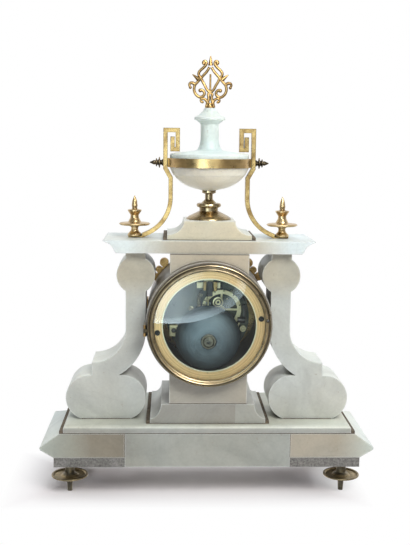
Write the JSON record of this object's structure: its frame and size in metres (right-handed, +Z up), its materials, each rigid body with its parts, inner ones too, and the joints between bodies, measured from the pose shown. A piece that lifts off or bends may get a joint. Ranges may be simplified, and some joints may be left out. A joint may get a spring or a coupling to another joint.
{
  "type": "portico clock",
  "caption": "Alabaster portico clock with gilt brass mounts, an urn on top, scroll columns, a round striking movement and hinged glazed doors front and back.",
  "frame": {"origin": "centre of the bounding box on the surface that the feet stand on", "axes": "+Z up, dial facing -Y, rear door facing +Y, +X to the right as seen from the dial"},
  "size_m": [0.3234, 0.1462, 0.4279],
  "materials": {
    "alabaster": "polished, slightly translucent",
    "grey_stone": "honed",
    "gilt_brass": "polished with dark recesses",
    "movement_brass": "satin",
    "bronze": "dark patina with gold edges",
    "steel": "polished",
    "blued_steel": "blued",
    "glass": "clear, bulged",
    "bell_metal": "dark patina",
    "enamel": "gloss white"
  },
  "bodies": {
    "case": {"base_center_block": "alabaster", "base_block_left": "alabaster", "base_block_right": "alabaster", "base_plate": "alabaster", "pedestal": "alabaster", "lower_pier": "alabaster", "upper_pier": "alabaster", "drum": "alabaster", "column_left": "alabaster", "column_right": "alabaster", "entablature": "alabaster", "upper_pedestal": "alabaster", "urn_bowl": "alabaster", "urn_lid": "alabaster", "base_plinths": "grey_stone", "base_fillet": "gilt_brass", "pedestal_fillet": "gilt_brass", "upper_fillet": "gilt_brass", "urn_foot": "gilt_brass", "urn_band": "gilt_brass", "urn_finial": "gilt_brass", "handle_left": "gilt_brass", "handle_right": "gilt_brass", "corner_finials": "gilt_brass", "drum_scrolls": "gilt_brass", "rear_ring": "gilt_brass", "front_ring": "gilt_brass", "straps": "gilt_brass", "hinge_leaves": "gilt_brass", "front_plate": "movement_brass", "back_plate": "movement_brass", "pillars": "movement_brass", "suspension_cock": "movement_brass", "bell_stand": "movement_brass", "feet": "bronze", "handle_nuts": "bronze", "urn_rod": "steel", "strap_screws": "steel", "hinge_pins": "steel", "bell": "bell_metal", "dial": "enamel"},
    "center": {"center_wheel": "movement_brass", "minute_hand": "blued_steel"},
    "going": {"going_barrel": "movement_brass"},
    "third": {"third_wheel": "movement_brass"},
    "escape": {"escape_wheel": "movement_brass"},
    "motion": {"minute_wheel": "movement_brass"},
    "hour": {"hour_wheel": "movement_brass", "hour_hand": "blued_steel"},
    "pendulum": {"pendulum": "movement_brass"},
    "anchor": {"pallet_anchor": "steel"},
    "count": {"count_wheel": "movement_brass"},
    "strike": {"strike_barrel": "movement_brass"},
    "pin": {"pin_wheel": "movement_brass"},
    "fly": {"fly": "movement_brass"},
    "hammer": {"hammer": "steel"},
    "rear_door": {"rear_bezel": "gilt_brass", "rear_glass": "glass"},
    "front_door": {"front_bezel": "gilt_brass", "front_glass": "glass"}
  },
  "joints": [
    {"name": "minute_turn", "type": "hinge", "parent": "case", "child": "center", "pos_m": [0, -0.00075, 0.1744], "axis": [0, 1, 0], "continuous": true},
    {"name": "going_barrel_turn", "type": "hinge", "parent": "case", "child": "going", "pos_m": [0.0172, -0.00075, 0.16236], "axis": [0, 1, 0], "continuous": true},
    {"name": "third_turn", "type": "hinge", "parent": "case", "child": "third", "pos_m": [0, -0.00075, 0.1879], "axis": [0, 1, 0], "continuous": true},
    {"name": "escape_turn", "type": "hinge", "parent": "case", "child": "escape", "pos_m": [0.00728, -0.00075, 0.19658], "axis": [0, 1, 0], "continuous": true},
    {"name": "minute_wheel_turn", "type": "hinge", "parent": "case", "child": "motion", "pos_m": [0, -0.00075, 0.1624], "axis": [0, 1, 0], "continuous": true},
    {"name": "hour_turn", "type": "hinge", "parent": "case", "child": "hour", "pos_m": [0, -0.00075, 0.1744], "axis": [0, 1, 0], "continuous": true},
    {"name": "pendulum_swing", "type": "hinge", "parent": "case", "child": "pendulum", "pos_m": [0, -0.00075, 0.2144], "axis": [0, 1, 0], "range_deg": [-2.5, 2.5]},
    {"name": "anchor_rock", "type": "hinge", "parent": "case", "child": "anchor", "pos_m": [0, -0.00075, 0.2084], "axis": [0, 1, 0], "range_deg": [-3.4, 3.4]},
    {"name": "count_wheel_turn", "type": "hinge", "parent": "case", "child": "count", "pos_m": [-0.01349, -0.00075, 0.18259], "axis": [0, 1, 0], "continuous": true},
    {"name": "strike_barrel_turn", "type": "hinge", "parent": "case", "child": "strike", "pos_m": [-0.0172, -0.00075, 0.16236], "axis": [0, 1, 0], "continuous": true},
    {"name": "pin_wheel_turn", "type": "hinge", "parent": "case", "child": "pin", "pos_m": [-0.01916, -0.00075, 0.19241], "axis": [0, 1, 0], "continuous": true},
    {"name": "fly_turn", "type": "hinge", "parent": "case", "child": "fly", "pos_m": [-0.029, -0.00075, 0.19414], "axis": [0, 1, 0], "continuous": true},
    {"name": "hammer_swing", "type": "hinge", "parent": "case", "child": "hammer", "pos_m": [-0.036, -0.00075, 0.1864], "axis": [0, 1, 0], "range_deg": [0, 12], "stiffness_Nm_per_rad": 0.002, "springref_deg": -17.19},
    {"name": "rear_door_hinge", "type": "hinge", "parent": "case", "child": "rear_door", "pos_m": [0.0608, 0.06305, 0.1694], "axis": [0, 0, -1], "range_deg": [0, 110]},
    {"name": "front_door_hinge", "type": "hinge", "parent": "case", "child": "front_door", "pos_m": [0.0615, -0.03755, 0.1794], "axis": [0, 0, 1], "range_deg": [0, 110]}
  ],
  "couplings": [
    {"joint": "going_barrel_turn", "follows": "minute_turn", "ratio": -0.16667},
    {"joint": "third_turn", "follows": "minute_turn", "ratio": -8},
    {"joint": "escape_turn", "follows": "minute_turn", "ratio": 60},
    {"joint": "minute_wheel_turn", "follows": "minute_turn", "ratio": -0.33333},
    {"joint": "hour_turn", "follows": "minute_turn", "ratio": 0.083333},
    {"joint": "anchor_rock", "follows": "pendulum_swing", "ratio": 1.3158},
    {"joint": "strike_barrel_turn", "follows": "count_wheel_turn", "ratio": -0.14286},
    {"joint": "pin_wheel_turn", "follows": "count_wheel_turn", "ratio": -7.5},
    {"joint": "fly_turn", "follows": "count_wheel_turn", "ratio": 67.5}
  ]
}
